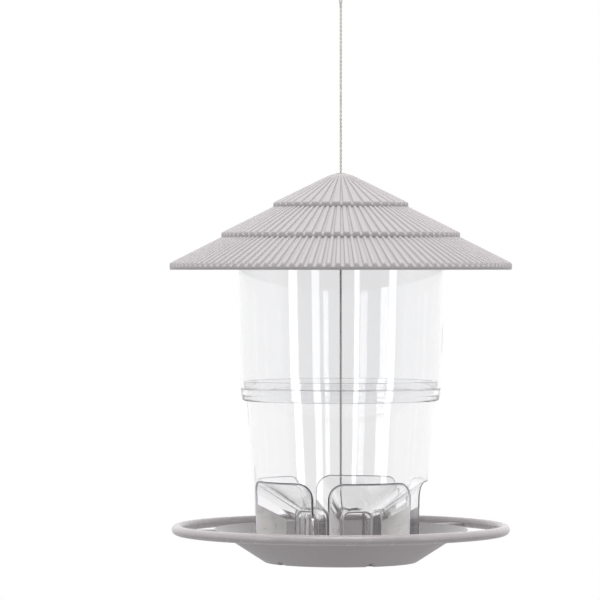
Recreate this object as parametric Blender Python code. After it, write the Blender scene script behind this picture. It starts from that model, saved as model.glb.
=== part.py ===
"""Hanging gravity seed feeder: tray, perch ring, two telescoping hoppers, fluted roof, wire hanger.

Heights in the constants are millimetres above the tray's flat base. The frame's origin is the top
of the hanging eye, so a height h lands at z = h - EYE_TOP. Angles are measured from -Y towards +X.
"""
import math

import bmesh
import bpy
from mathutils import Vector

MM = 0.001
EYE_TOP = 445.0

# Seed tray
FLOOR_RADIUS = 54.0
RIM_RADIUS = 89.0
RIM_HEIGHT = 23.2
FLOOR_THICKNESS = 2.4
HUB_TOP = 13.0
HUB_FOOT_RADIUS = 18.0
POCKET_RADIUS = 7.5
POCKET_DEPTH = 6.0
DRAIN_HALF_WIDTH = 2.5
DRAIN_HEIGHT = 1.9

# Perch ring and the arms that carry it
PERCH_RADIUS = 114.8
PERCH_HEIGHT = 22.9
PERCH_TUBE_RADIUS = 3.5
ARM_WIDTH = 9.0
ARM_THICKNESS = 2.6
FIRST_ARM = 58.0

# Feed ports
PORTS = 5
PORT_STEP = 360.0 / PORTS
FIRST_PORT = 22.0
PORT_RADIUS = 60.6
PORT_HALF_ANGLE = 29.4
PORT_TOP = 56.4
PORT_CORNER = 9.5
MOUTH_DISTANCE = 31.0
MOUTH_HALF_WIDTH = 10.15
MOUTH_TOP = 35.7
MOUTH_CORNER = 4.5
TUNNEL_END = 23.0
WALL = 1.8

# Bayonet
FOOT_HALF_ANGLE = 5.0
FOOT_RADIUS = 62.0
HOOK_RADIUS = 63.6

# Hanger
WIRE_RADIUS = 0.85
STRAND_RADIUS = 0.45
WIRE_FOOT = 1.0
WIRE_TOP = 388.0
BORE_RADIUS = 1.2
EYE_HALF_WIDTH = 12.0

LATHE_STEPS = 60
SHARP_ANGLE = math.radians(32)


def clear_scene():
    for obj in list(bpy.data.objects):
        bpy.data.objects.remove(obj, do_unlink=True)


def material(name, colour, roughness, metallic=0.0, transmission=0.0):
    made = bpy.data.materials.new(name)
    made.use_nodes = True
    shader = made.node_tree.nodes["Principled BSDF"]
    shader.inputs["Base Color"].default_value = (*colour, 1.0)
    shader.inputs["Roughness"].default_value = roughness
    shader.inputs["Metallic"].default_value = metallic
    shader.inputs["Transmission Weight"].default_value = transmission
    made.diffuse_color = (*colour, 1.0)
    return made


def outward(angle):
    """Unit vector pointing out from the axis at this angle in degrees."""
    turn = math.radians(angle)
    return Vector((math.sin(turn), -math.cos(turn), 0.0))


def point(radius, angle, height):
    """A point in metres in the part's frame."""
    place = outward(angle) * radius
    return Vector((place.x, place.y, height - EYE_TOP)) * MM


def mesh_object(name, vertices, faces, surface=None):
    mesh = bpy.data.meshes.new(name)
    mesh.from_pydata([tuple(v) for v in vertices], [], faces)
    obj = bpy.data.objects.new(name, mesh)
    bpy.context.scene.collection.objects.link(obj)
    tidy(obj)
    if surface:
        mesh.materials.append(surface)
    return obj


def tidy(obj):
    """Faces outwards, smooth shading, and a sharp edge wherever the surface really turns."""
    work = bmesh.new()
    work.from_mesh(obj.data)
    bmesh.ops.recalc_face_normals(work, faces=work.faces)
    for face in work.faces:
        face.smooth = True
    for edge in work.edges:
        edge.smooth = edge.calc_face_angle(math.pi) < SHARP_ANGLE
    work.to_mesh(obj.data)
    work.free()


def lathe(profile, steps):
    """Vertices and faces of a closed profile of (radius, height) pairs turned about the axis."""
    vertices = []
    rings = []
    for radius, height in profile:
        if radius < 1e-6:
            rings.append([len(vertices)])
            vertices.append(point(0.0, 0.0, height))
            continue
        rings.append(list(range(len(vertices), len(vertices) + steps)))
        for i in range(steps):
            vertices.append(point(radius, 360.0 * i / steps, height))
    faces = []
    for k, ring in enumerate(rings):
        faces += bridge(ring, rings[(k + 1) % len(rings)])
    return vertices, faces


def bridge(lower, upper):
    """Faces between two rings that start at one angle, whatever their numbers of points."""
    if len(lower) == 1 and len(upper) == 1:
        return []
    if len(lower) == len(upper):
        count = len(lower)
        return [
            (lower[i], lower[(i + 1) % count], upper[(i + 1) % count], upper[i])
            for i in range(count)
        ]
    if len(upper) == 1:
        count = len(lower)
        return [(lower[i], lower[(i + 1) % count], upper[0]) for i in range(count)]
    if len(lower) == 1:
        count = len(upper)
        return [(lower[0], upper[(i + 1) % count], upper[i]) for i in range(count)]
    faces = []
    i = 0
    j = 0
    while i < len(lower) or j < len(upper):
        step_lower = j >= len(upper) or (
            i < len(lower) and (i + 1) * len(upper) <= (j + 1) * len(lower)
        )
        a = lower[i % len(lower)]
        b = upper[j % len(upper)]
        if step_lower:
            i += 1
            faces.append((a, lower[i % len(lower)], b))
        else:
            j += 1
            faces.append((a, upper[j % len(upper)], b))
    return faces


def sector(profile, first, last, steps):
    """A closed block: a profile of (radius, height) pairs swept between two angles."""
    vertices = []
    count = len(profile)
    for i in range(steps + 1):
        angle = first + (last - first) * i / steps
        vertices += [point(radius, angle, height) for radius, height in profile]
    faces = [tuple(range(count))]
    faces.append(tuple(range(steps * count, (steps + 1) * count)))
    for i in range(steps):
        for k in range(count):
            a = i * count + k
            b = i * count + (k + 1) % count
            faces.append((a, b, b + count, a + count))
    return vertices, faces


def gathered(shapes):
    """One vertex list and one face list from several separate shapes."""
    vertices = []
    faces = []
    for more_vertices, more_faces in shapes:
        start = len(vertices)
        vertices += more_vertices
        faces += [tuple(start + i for i in face) for face in more_faces]
    return vertices, faces


def combine(target, tool, operation):
    """Applies a Boolean to the target and removes the tool."""
    tool.hide_render = True
    tool.display_type = "WIRE"
    change = target.modifiers.new(operation.lower(), "BOOLEAN")
    change.operation = operation
    change.solver = "EXACT"
    change.object = tool
    graph = bpy.context.evaluated_depsgraph_get()
    result = bpy.data.meshes.new_from_object(target.evaluated_get(graph))
    target.modifiers.clear()
    old = target.data
    target.data = result
    bpy.data.meshes.remove(old)
    bpy.data.objects.remove(tool, do_unlink=True)
    result.name = target.name


def dissolve_flat(obj):
    """Merges the coplanar scraps that a Boolean leaves, then triangulates."""
    work = bmesh.new()
    work.from_mesh(obj.data)
    bmesh.ops.remove_doubles(work, verts=work.verts, dist=0.00002)
    bmesh.ops.dissolve_limit(
        work, angle_limit=math.radians(0.4), verts=work.verts, edges=work.edges
    )
    bmesh.ops.triangulate(work, faces=work.faces)
    work.to_mesh(obj.data)
    work.free()
    tidy(obj)


# Seed tray: a conical dish with a hub for the hanger, drains, arms and bayonet hooks

def tray_profile():
    slope = (RIM_RADIUS - FLOOR_RADIUS) / RIM_HEIGHT
    floor_edge = FLOOR_RADIUS + 0.6
    inner_rim = RIM_RADIUS - 1.5
    return [
        (POCKET_RADIUS, 0.0),
        (FLOOR_RADIUS - 1.0, 0.0),
        (FLOOR_RADIUS + 0.4, 0.9),
        (RIM_RADIUS - 0.3 - slope * 0.9, RIM_HEIGHT - 1.1),
        (RIM_RADIUS, RIM_HEIGHT - 0.7),
        (RIM_RADIUS - 0.1, RIM_HEIGHT),
        (inner_rim, RIM_HEIGHT + 0.1),
        (inner_rim - 1.3, RIM_HEIGHT - 0.9),
        (floor_edge, FLOOR_THICKNESS),
        (HUB_FOOT_RADIUS, FLOOR_THICKNESS),
        (HUB_FOOT_RADIUS - 4.5, FLOOR_THICKNESS + 2.0),
        (4.6, HUB_TOP - 0.8),
        (3.4, HUB_TOP),
        (BORE_RADIUS, HUB_TOP),
        (BORE_RADIUS, POCKET_DEPTH),
        (POCKET_RADIUS, POCKET_DEPTH),
    ]


def dish_surface(radius):
    """Height of the dish's inner surface at this radius."""
    run = (RIM_RADIUS - 2.8) - (FLOOR_RADIUS + 0.6)
    rise = RIM_HEIGHT - 0.9 - FLOOR_THICKNESS
    return FLOOR_THICKNESS + (radius - FLOOR_RADIUS - 0.6) * rise / run


def drain_cutter(angle):
    """A half-round notch under the dish's bottom corner."""
    arc = 8
    outline = []
    for i in range(arc + 1):
        turn = math.pi * i / arc
        outline.append((DRAIN_HALF_WIDTH * math.cos(turn), DRAIN_HEIGHT * math.sin(turn)))
    outline += [(-DRAIN_HALF_WIDTH, -1.0), (DRAIN_HALF_WIDTH, -1.0)]
    vertices = []
    for radius in (48.5, 60.0):
        along = outward(angle) * radius
        for across, height in outline:
            place = along + outward(angle + 90.0) * across
            vertices.append(Vector((place.x, place.y, height - EYE_TOP)) * MM)
    count = len(outline)
    faces = [tuple(range(count)), tuple(range(count, 2 * count))]
    for k in range(count):
        nxt = (k + 1) % count
        faces.append((k, nxt, nxt + count, k + count))
    return vertices, faces


def upright_cylinder(radius, distance, angle, low, high, steps):
    centre = outward(angle) * distance
    vertices = []
    for height in (low, high):
        for i in range(steps):
            turn = 2.0 * math.pi * i / steps
            across = Vector((math.cos(turn), math.sin(turn), 0.0)) * radius
            place = centre + across
            vertices.append(Vector((place.x, place.y, height - EYE_TOP)) * MM)
    faces = [tuple(range(steps)), tuple(range(steps, 2 * steps))]
    for i in range(steps):
        nxt = (i + 1) % steps
        faces.append((i, nxt, nxt + steps, i + steps))
    return vertices, faces


def arm(angle):
    """A flat arm from inside the dish's rim out to the perch ring."""
    side = outward(angle + 90.0)
    along = outward(angle)
    near = RIM_RADIUS - 1.6
    far = PERCH_RADIUS - PERCH_TUBE_RADIUS - 0.3
    top = RIM_HEIGHT - 0.2
    vertices = []
    for radius, half, low in (
        (near, 0.62 * ARM_WIDTH, top - ARM_THICKNESS + 1.7),
        (RIM_RADIUS + 3.0, 0.5 * ARM_WIDTH, top - ARM_THICKNESS),
        (far - 5.0, 0.5 * ARM_WIDTH, top - ARM_THICKNESS),
        (far, 0.62 * ARM_WIDTH, top - ARM_THICKNESS),
    ):
        for across, height in ((-half, low), (half, low), (half, top), (-half, top)):
            place = along * radius + side * across
            vertices.append(Vector((place.x, place.y, height - EYE_TOP)) * MM)
    faces = [(0, 1, 2, 3), (12, 13, 14, 15)]
    for i in range(3):
        for k in range(4):
            a = 4 * i + k
            b = 4 * i + (k + 1) % 4
            faces.append((a, b, b + 4, a + 4))
    return vertices, faces


def hook(angle):
    """The bayonet's stop wall with a tongue over the hopper's foot, and the far stop."""
    inner = PORT_RADIUS + 0.3
    root = dish_surface(inner) - 0.9
    tip = dish_surface(HOOK_RADIUS) - 0.9
    wall = [(inner, root), (HOOK_RADIUS, tip), (HOOK_RADIUS, 12.6), (inner, 12.6)]
    tongue = [(inner, 11.0), (HOOK_RADIUS, 11.0), (HOOK_RADIUS, 12.6), (inner, 12.6)]
    far_wall = [(inner, root), (HOOK_RADIUS, tip), (HOOK_RADIUS, 10.4), (inner, 10.4)]
    vertices = [point(r, angle - 10.0, h) for r, h in wall]
    vertices += [point(r, angle - 6.2, h) for r, h in wall]
    vertices += [point(r, angle - 6.2, h) for r, h in tongue[:2]]
    vertices += [point(r, angle + 1.0, h) for r, h in tongue]
    faces = [
        (0, 1, 2, 3),
        (0, 1, 5, 4),
        (1, 2, 6, 9, 5),
        (2, 3, 7, 6),
        (3, 0, 4, 8, 7),
        (4, 5, 9, 8),
        (8, 9, 11, 10),
        (9, 6, 12, 11),
        (6, 7, 13, 12),
        (7, 8, 10, 13),
        (10, 11, 12, 13),
    ]
    return [(vertices, faces), sector(far_wall, angle + 26.4, angle + 28.8, 1)]


def build_tray(surface):
    tray = mesh_object("seed_tray", *lathe(tray_profile(), LATHE_STEPS), surface)
    extras = []
    drains = []
    holes = []
    for k in range(PORTS):
        arm_angle = FIRST_ARM + k * PORT_STEP
        port_angle = FIRST_PORT + k * PORT_STEP
        extras.append(arm(arm_angle))
        extras += hook(arm_angle)
        drains.append(drain_cutter(port_angle))
        holes.append(upright_cylinder(1.5, 51.0, port_angle, -1.0, 4.0, 10))
    combine(tray, mesh_object("tray_extras", *gathered(extras)), "UNION")
    combine(tray, mesh_object("drain_cutter", *gathered(drains)), "DIFFERENCE")
    combine(tray, mesh_object("drain_holes", *gathered(holes)), "DIFFERENCE")
    dissolve_flat(tray)
    return tray


def build_perch_ring(surface):
    """A round hoop lying level around the tray."""
    around = 8
    profile = []
    for i in range(around):
        turn = 2.0 * math.pi * i / around
        profile.append((
            PERCH_RADIUS + PERCH_TUBE_RADIUS * math.cos(turn),
            PERCH_HEIGHT + PERCH_TUBE_RADIUS * math.sin(turn),
        ))
    return mesh_object("perch_ring", *lathe(profile, 54), surface)


# Lower hopper: a tapered cup whose five recesses narrow to the mouths of the seed column

LOWER_OUTER = [
    (60.0, 6.9),
    (60.0, 19.0),
    (60.9, 54.0),
    (63.4, 85.0),
    (65.3, 108.0),
    (65.8, 114.0),
    (65.9, 122.1),
]
LOWER_FLANGE_RADIUS = 67.8
LOWER_FLANGE_TOP = 127.0


def arch(half_width, top, corner, steps=5):
    """Half-round-cornered arch as (across, height) pairs, from one foot over to the other."""
    left = []
    for i in range(steps + 1):
        turn = 0.5 * math.pi * i / steps
        left.append((
            -half_width + corner * (1.0 - math.cos(turn)),
            top - corner * (1.0 - math.sin(turn)),
        ))
    right = [(-across, height) for across, height in reversed(left)]
    return [(-half_width, -3.0)] + left + right + [(half_width, -3.0)]


def recess(angle, skin, tunnel_end):
    """The recess volume of one port, grown by skin: seed mouth, then the flare out to the port."""
    mouth = arch(MOUTH_HALF_WIDTH + skin, MOUTH_TOP + skin, MOUTH_CORNER + skin)
    half_arc = math.radians(PORT_HALF_ANGLE) * PORT_RADIUS + skin
    port = arch(half_arc, PORT_TOP + skin, PORT_CORNER + skin)
    along = outward(angle)
    side = outward(angle + 90.0)
    sections = []
    for distance in (tunnel_end, MOUTH_DISTANCE):
        sections.append([
            along * distance + side * across + Vector((0.0, 0.0, height - EYE_TOP))
            for across, height in mouth
        ])
    for radius in (PORT_RADIUS, PORT_RADIUS + 12.0):
        sections.append([
            outward(angle + math.degrees(across / PORT_RADIUS)) * radius
            + Vector((0.0, 0.0, height - EYE_TOP))
            for across, height in port
        ])
    count = len(mouth)
    vertices = [place * MM for section in sections for place in section]
    faces = [tuple(range(count)), tuple(range(3 * count, 4 * count))]
    for i in range(3):
        for k in range(count):
            a = i * count + k
            b = i * count + (k + 1) % count
            faces.append((a, b, b + count))
            faces.append((a, b + count, a + count))
    return vertices, faces


def build_lower_hopper(surface):
    outside = [(0.0, FLOOR_THICKNESS + 0.5), (53.9, FLOOR_THICKNESS + 0.5)]
    outside += LOWER_OUTER
    outside += [
        (LOWER_FLANGE_RADIUS, 122.1),
        (LOWER_FLANGE_RADIUS, LOWER_FLANGE_TOP - 0.5),
        (LOWER_FLANGE_RADIUS - 0.5, LOWER_FLANGE_TOP),
        (0.0, LOWER_FLANGE_TOP),
    ]
    hopper = mesh_object("lower_hopper", *lathe(outside, LATHE_STEPS), surface)
    inside = [(0.0, -4.0), (60.0 - WALL, -4.0)]
    inside += [(radius - WALL, height) for radius, height in LOWER_OUTER[1:5]]
    inside += [(64.2, 122.0), (64.3, 131.0), (0.0, 131.0)]
    void = mesh_object("seed_space", *lathe(inside, LATHE_STEPS))
    angles = [FIRST_PORT + k * PORT_STEP for k in range(PORTS)]
    skins = gathered([recess(angle, WALL, TUNNEL_END) for angle in angles])
    combine(void, mesh_object("recess_skins", *skins), "DIFFERENCE")
    combine(hopper, void, "DIFFERENCE")
    recesses = gathered([recess(angle, 0.0, TUNNEL_END - 6.0) for angle in angles])
    combine(hopper, mesh_object("recesses", *recesses), "DIFFERENCE")
    feet = []
    low = dish_surface(FOOT_RADIUS) + 0.5
    foot = [(59.2, low - 0.9), (60.2, low - 0.9), (FOOT_RADIUS, low), (FOOT_RADIUS, 10.5), (59.2, 10.5)]
    for k in range(PORTS):
        middle = FIRST_ARM + k * PORT_STEP
        feet.append(sector(foot, middle - FOOT_HALF_ANGLE, middle + FOOT_HALF_ANGLE, 2))
    combine(hopper, mesh_object("feet", *gathered(feet)), "UNION")
    dissolve_flat(hopper)
    return hopper


def build_upper_hopper(surface):
    """A tapered tube: rolled rim above, and an inward lip below that holds the lower flange."""
    profile = [
        (66.4, 113.2),
        (68.9, 113.1),
        (69.7, 114.0),
        (69.8, 117.0),
        (70.3, 117.4),
        (70.4, 120.8),
        (70.0, 121.2),
        (73.5, 204.0),
        (74.3, 223.2),
        (75.7, 223.6),
        (75.7, 226.0),
        (72.6, 226.0),
        (71.7, 204.0),
        (68.2, 121.6),
        (66.4, 121.6),
    ]
    return mesh_object("upper_hopper", *lathe(profile, LATHE_STEPS), surface)


# Roof: three fluted tiers in one shell, with a collar that drops into the hopper's mouth

def fluted_ring(vertices, flutes, per_flute, radius, height, lift, outset=0.0):
    """Adds a ring whose flute ridges stand above its valleys, and returns its indices."""
    count = flutes * per_flute
    ring = list(range(len(vertices), len(vertices) + count))
    for i in range(count):
        on_ridge = 1.0 if i % per_flute else 0.0
        vertices.append(point(
            radius + outset * on_ridge, 360.0 * i / count, height + lift * on_ridge
        ))
    return ring


def build_roof(surface):
    vertices = []
    rings = [
        fluted_ring(vertices, 1, 24, 2.5, 271.0, 0.0),
        fluted_ring(vertices, 1, 40, 5.5, 271.5, 0.0),
        fluted_ring(vertices, 40, 3, 14.0, 267.2, 0.7),
        fluted_ring(vertices, 40, 3, 47.2, 250.2, 1.5),
        fluted_ring(vertices, 80, 2, 47.3, 247.9, 1.2),
        fluted_ring(vertices, 80, 2, 83.4, 229.0, 1.7),
        fluted_ring(vertices, 120, 2, 83.5, 226.6, 1.3),
        fluted_ring(vertices, 120, 2, 119.2, 207.4, 2.1, 0.8),
        fluted_ring(vertices, 120, 2, 119.2, 204.6, 0.0, 0.8),
    ]
    for radius, height in (
        (117.0, 204.6),
        (116.8, 206.6),
        (82.6, 224.7),
        (79.0, 226.9),
        (77.6, 226.5),
        (71.7, 226.5),
        (71.4, 218.0),
        (69.6, 218.0),
        (69.0, 233.4),
        (46.0, 245.9),
        (14.0, 265.0),
        (6.0, 269.2),
    ):
        rings.append(fluted_ring(vertices, 1, 60, radius, height, 0.0))
    rings.append(fluted_ring(vertices, 1, 24, 2.5, 269.4, 0.0))
    faces = []
    for k, ring in enumerate(rings):
        faces += bridge(ring, rings[(k + 1) % len(rings)])
    return mesh_object("roof_canopy", vertices, faces, surface)


def build_roof_bush(surface):
    """A grommet whose two flanges hold the roof's crown and whose bore runs on the wire."""
    profile = [
        (WIRE_RADIUS + 0.3, 267.6),
        (4.0, 267.6),
        (4.2, 268.9),
        (2.1, 269.0),
        (2.1, 271.8),
        (4.3, 271.9),
        (3.9, 272.8),
        (2.6, 273.4),
        (WIRE_RADIUS + 0.3, 273.4),
    ]
    return mesh_object("roof_bush", *lathe(profile, 16), surface)


# Hanger

def wire_curve(name, places, radius, fineness, surface):
    curve = bpy.data.curves.new(name, "CURVE")
    curve.dimensions = "3D"
    curve.bevel_depth = radius * MM
    curve.bevel_resolution = fineness
    curve.use_fill_caps = True
    spline = curve.splines.new("POLY")
    spline.points.add(len(places) - 1)
    for knot, place in zip(spline.points, places):
        knot.co = (place.x, place.y, place.z, 1.0)
    spline.use_smooth = True
    curve.materials.append(surface)
    obj = bpy.data.objects.new(name, curve)
    bpy.context.scene.collection.objects.link(obj)
    return obj


def build_hanging_cable(surface):
    count = 48
    places = []
    for i in range(count + 1):
        height = WIRE_FOOT + (WIRE_TOP - WIRE_FOOT) * i / count
        places.append(point(0.0, 0.0, height))
    return wire_curve("hanging_cable", places, WIRE_RADIUS, 2, surface)


def build_cable_eye(surface):
    """The folded end of the wire: a teardrop loop above the twisted part."""
    count = 44
    top = EYE_TOP + STRAND_RADIUS
    foot = WIRE_TOP + 0.4
    round_radius = EYE_HALF_WIDTH - STRAND_RADIUS
    centre = top - round_radius
    start = 0.66
    places = []
    for i in range(count + 1):
        share = i / count
        if 0.3 <= share <= 0.7:
            turn = math.pi * (share - 0.3) / 0.4
            across = -round_radius * math.cos(turn)
            places.append((across, centre + round_radius * math.sin(turn)))
            continue
        t = min(share, 1.0 - share) / 0.3
        across = start + (round_radius - start) * (3 * t * t - 2 * t * t * t)
        side = -1.0 if share < 0.5 else 1.0
        places.append((side * across, foot + (centre - foot) * t))
    knots = [Vector((across, 0.0, height - EYE_TOP)) * MM for across, height in places]
    return wire_curve("cable_eye", knots, STRAND_RADIUS, 1, surface)


def build_stop_washer(surface):
    profile = [(BORE_RADIUS, 4.6), (6.4, 4.6), (6.4, 5.7), (BORE_RADIUS, 5.7)]
    return mesh_object("stop_washer", *lathe(profile, 20), surface)


def build_stop_ferrule(surface):
    """The sleeve crimped on the wire's two ends below the washer."""
    profile = [
        (WIRE_RADIUS + 0.25, 0.5),
        (2.1, 0.5),
        (2.4, 0.9),
        (2.4, 3.9),
        (2.1, 4.3),
        (WIRE_RADIUS + 0.25, 4.3),
    ]
    return mesh_object("stop_ferrule", *lathe(profile, 14), surface)


clear_scene()
tray_grey = material("tray_grey", (0.26, 0.25, 0.26), 0.45)
roof_grey = material("roof_grey", (0.62, 0.60, 0.61), 0.5)
clear_upper = material("clear_upper", (0.9, 0.91, 0.92), 0.08, transmission=1.0)
clear_lower = material("clear_lower", (0.9, 0.91, 0.92), 0.1, transmission=1.0)
bush_plastic = material("bush_plastic", (0.7, 0.69, 0.68), 0.5)
wire_steel = material("wire_steel", (0.55, 0.52, 0.48), 0.35, metallic=1.0)
zinc = material("zinc", (0.6, 0.6, 0.62), 0.35, metallic=1.0)

build_tray(tray_grey)
build_perch_ring(tray_grey)
build_lower_hopper(clear_lower)
build_upper_hopper(clear_upper)
build_roof(roof_grey)
build_roof_bush(bush_plastic)
build_hanging_cable(wire_steel)
build_cable_eye(wire_steel)
build_stop_washer(zinc)
build_stop_ferrule(zinc)
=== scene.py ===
"""Looks for a hanging gravity seed feeder: clear telescoping hopper, fluted roof, dish with a perch hoop.

Heights are millimetres above the tray's flat base, radii are millimetres from the feeder's axis, and
angles are degrees from the front (-Y) towards the right (+X). place() turns them into metres.
"""
import math

import bmesh
import bpy
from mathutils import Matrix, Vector


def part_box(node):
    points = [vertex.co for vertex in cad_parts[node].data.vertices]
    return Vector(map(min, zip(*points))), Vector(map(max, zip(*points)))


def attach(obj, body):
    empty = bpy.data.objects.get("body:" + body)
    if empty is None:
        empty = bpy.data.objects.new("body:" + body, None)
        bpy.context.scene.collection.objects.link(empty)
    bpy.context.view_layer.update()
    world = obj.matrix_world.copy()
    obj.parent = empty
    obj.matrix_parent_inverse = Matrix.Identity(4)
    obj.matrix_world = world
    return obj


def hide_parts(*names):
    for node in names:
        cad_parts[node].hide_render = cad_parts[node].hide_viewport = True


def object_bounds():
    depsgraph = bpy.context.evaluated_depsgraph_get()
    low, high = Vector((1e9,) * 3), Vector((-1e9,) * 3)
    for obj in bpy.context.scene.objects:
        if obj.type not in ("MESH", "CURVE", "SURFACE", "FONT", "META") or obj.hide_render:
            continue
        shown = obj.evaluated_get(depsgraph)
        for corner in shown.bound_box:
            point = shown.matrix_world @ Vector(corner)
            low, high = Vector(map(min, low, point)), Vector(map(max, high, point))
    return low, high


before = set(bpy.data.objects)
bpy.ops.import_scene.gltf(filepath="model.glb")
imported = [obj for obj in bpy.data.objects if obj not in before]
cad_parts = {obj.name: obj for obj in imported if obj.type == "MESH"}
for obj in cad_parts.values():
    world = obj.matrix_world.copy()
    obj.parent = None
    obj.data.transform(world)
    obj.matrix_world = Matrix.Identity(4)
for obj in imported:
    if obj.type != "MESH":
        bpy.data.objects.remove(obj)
cad_low, cad_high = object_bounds()

MM = 0.001
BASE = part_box("seed_tray")[0].z
PORTS = 5
PORT_STEP = 360.0 / PORTS
FIRST_PORT = 22.0
FIRST_ARM = 58.0
SHARP_ANGLE = math.radians(38)
LONGEST_CURVE = 0.45
SHORTEST_CURVE = 0.01
SLIVER = 0.000005


# Mesh tools

def outward(angle):
    """Unit vector pointing out from the axis at this angle in degrees."""
    turn = math.radians(angle)
    return Vector((math.sin(turn), -math.cos(turn), 0.0))


def place(radius, angle, height):
    """A point in metres in the part's frame."""
    spot = outward(angle) * radius
    return Vector((spot.x * MM, spot.y * MM, BASE + height * MM))


def beside(along, across, angle, height):
    """A point at a distance along one outward direction and across it."""
    spot = outward(angle) * along + outward(angle + 90.0) * across
    return Vector((spot.x * MM, spot.y * MM, BASE + height * MM))


def finish_normals(mesh):
    """Faces outwards, smooth shading, and a sharp edge wherever the surface really turns."""
    work = bmesh.new()
    work.from_mesh(mesh)
    bmesh.ops.recalc_face_normals(work, faces=work.faces)
    for face in work.faces:
        face.smooth = True
    for edge in work.edges:
        edge.smooth = edge.calc_face_angle(math.pi) < SHARP_ANGLE
    work.to_mesh(mesh)
    work.free()


def mesh_piece(name, vertices, faces, materials=()):
    """A new object in the scene from a list of vertices in metres and a list of faces."""
    mesh = bpy.data.meshes.new(name)
    mesh.from_pydata([tuple(v) for v in vertices], [], faces)
    for surface in materials:
        mesh.materials.append(surface)
    finish_normals(mesh)
    piece = bpy.data.objects.new(name, mesh)
    bpy.context.scene.collection.objects.link(piece)
    return piece


def weigh_normals(piece):
    """Lets the large faces set the shading, so that walls stay straight up to their soft edges."""
    weighing = piece.modifiers.new("weighted_normals", "WEIGHTED_NORMAL")
    weighing.mode = "FACE_AREA"
    weighing.weight = 50
    weighing.keep_sharp = True


def rounded(outline, size=0.3, segments=3):
    """A closed outline of (radius, height[, size]) corners with each corner turned into a curve."""
    result = []
    count = len(outline)
    for k, corner in enumerate(outline):
        here = Vector(corner[:2])
        before = Vector(outline[k - 1][:2]) - here
        after = Vector(outline[(k + 1) % count][:2]) - here
        reach = corner[2] if len(corner) > 2 else size
        reach = min(reach, LONGEST_CURVE * before.length, LONGEST_CURVE * after.length)
        if reach < SHORTEST_CURVE:
            result.append(tuple(here))
            continue
        start = here + before.normalized() * reach
        end = here + after.normalized() * reach
        for i in range(segments + 1):
            t = i / segments
            spot = start * (1 - t) ** 2 + here * 2 * t * (1 - t) + end * t ** 2
            result.append(tuple(spot))
    return result


def bridge(lower, upper):
    """Faces between two rings that start at one angle, whatever their numbers of points."""
    if len(lower) == 1 and len(upper) == 1:
        return []
    if len(lower) == len(upper):
        count = len(lower)
        return [
            (lower[i], lower[(i + 1) % count], upper[(i + 1) % count], upper[i])
            for i in range(count)
        ]
    if len(upper) == 1:
        count = len(lower)
        return [(lower[i], lower[(i + 1) % count], upper[0]) for i in range(count)]
    if len(lower) == 1:
        count = len(upper)
        return [(lower[0], upper[(i + 1) % count], upper[i]) for i in range(count)]
    faces = []
    i = 0
    j = 0
    while i < len(lower) or j < len(upper):
        step_lower = j >= len(upper) or (
            i < len(lower) and (i + 1) * len(upper) <= (j + 1) * len(lower)
        )
        a = lower[i % len(lower)]
        b = upper[j % len(upper)]
        if step_lower:
            i += 1
            faces.append((a, lower[i % len(lower)], b))
        else:
            j += 1
            faces.append((a, upper[j % len(upper)], b))
    return faces


def stitched(rings):
    """Faces joining each ring to the next and the last to the first."""
    faces = []
    for k, ring in enumerate(rings):
        faces += bridge(ring, rings[(k + 1) % len(rings)])
    return faces


def revolve(outline, steps):
    """Vertices and faces of a closed outline of (radius, height) pairs turned about the axis."""
    vertices = []
    rings = []
    for radius, height in outline:
        if radius < 1e-6:
            rings.append([len(vertices)])
            vertices.append(place(0.0, 0.0, height))
            continue
        rings.append(list(range(len(vertices), len(vertices) + steps)))
        for i in range(steps):
            vertices.append(place(radius, 360.0 * i / steps, height))
    return vertices, stitched(rings)


def lofted(sections):
    """Vertices and faces of a closed block through sections with equal numbers of points."""
    count = len(sections[0])
    vertices = [spot for section in sections for spot in section]
    last = len(sections) - 1
    faces = [tuple(range(count)), tuple(range(last * count, (last + 1) * count))]
    for i in range(last):
        for k in range(count):
            a = i * count + k
            b = i * count + (k + 1) % count
            faces.append((a, b, b + count, a + count))
    return vertices, faces


def gathered(shapes):
    """One vertex list and one face list from several separate shapes."""
    vertices = []
    faces = []
    for more_vertices, more_faces in shapes:
        start = len(vertices)
        vertices += more_vertices
        faces += [tuple(start + i for i in face) for face in more_faces]
    return vertices, faces


def combine(target, tool, operation):
    """Applies a Boolean to the target and removes the tool."""
    change = target.modifiers.new(operation.lower(), "BOOLEAN")
    change.operation = operation
    change.solver = "MANIFOLD"
    change.object = tool
    graph = bpy.context.evaluated_depsgraph_get()
    result = bpy.data.meshes.new_from_object(target.evaluated_get(graph))
    target.modifiers.clear()
    old = target.data
    target.data = result
    bpy.data.meshes.remove(old)
    bpy.data.objects.remove(tool, do_unlink=True)
    result.name = target.name


def clean(piece):
    """Merges the slivers that a Boolean leaves and shades the result again."""
    work = bmesh.new()
    work.from_mesh(piece.data)
    bmesh.ops.remove_doubles(work, verts=work.verts, dist=SLIVER)
    bmesh.ops.dissolve_degenerate(work, edges=work.edges, dist=SLIVER)
    work.to_mesh(piece.data)
    work.free()
    finish_normals(piece.data)


# Materials

def blank_material(name):
    """A new material with its node tree and its Principled shader."""
    made = bpy.data.materials.new(name)
    made.use_nodes = True
    tree = made.node_tree
    shader = tree.nodes["Principled BSDF"]
    return made, tree, shader


def noise(tree, scale, detail=3.0, roughness=0.55):
    """A noise field in the object's own metres."""
    coordinates = tree.nodes.new("ShaderNodeTexCoord")
    field = tree.nodes.new("ShaderNodeTexNoise")
    field.inputs["Scale"].default_value = scale
    field.inputs["Detail"].default_value = detail
    field.inputs["Roughness"].default_value = roughness
    tree.links.new(coordinates.outputs["Object"], field.inputs["Vector"])
    return field.outputs["Fac"]


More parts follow.
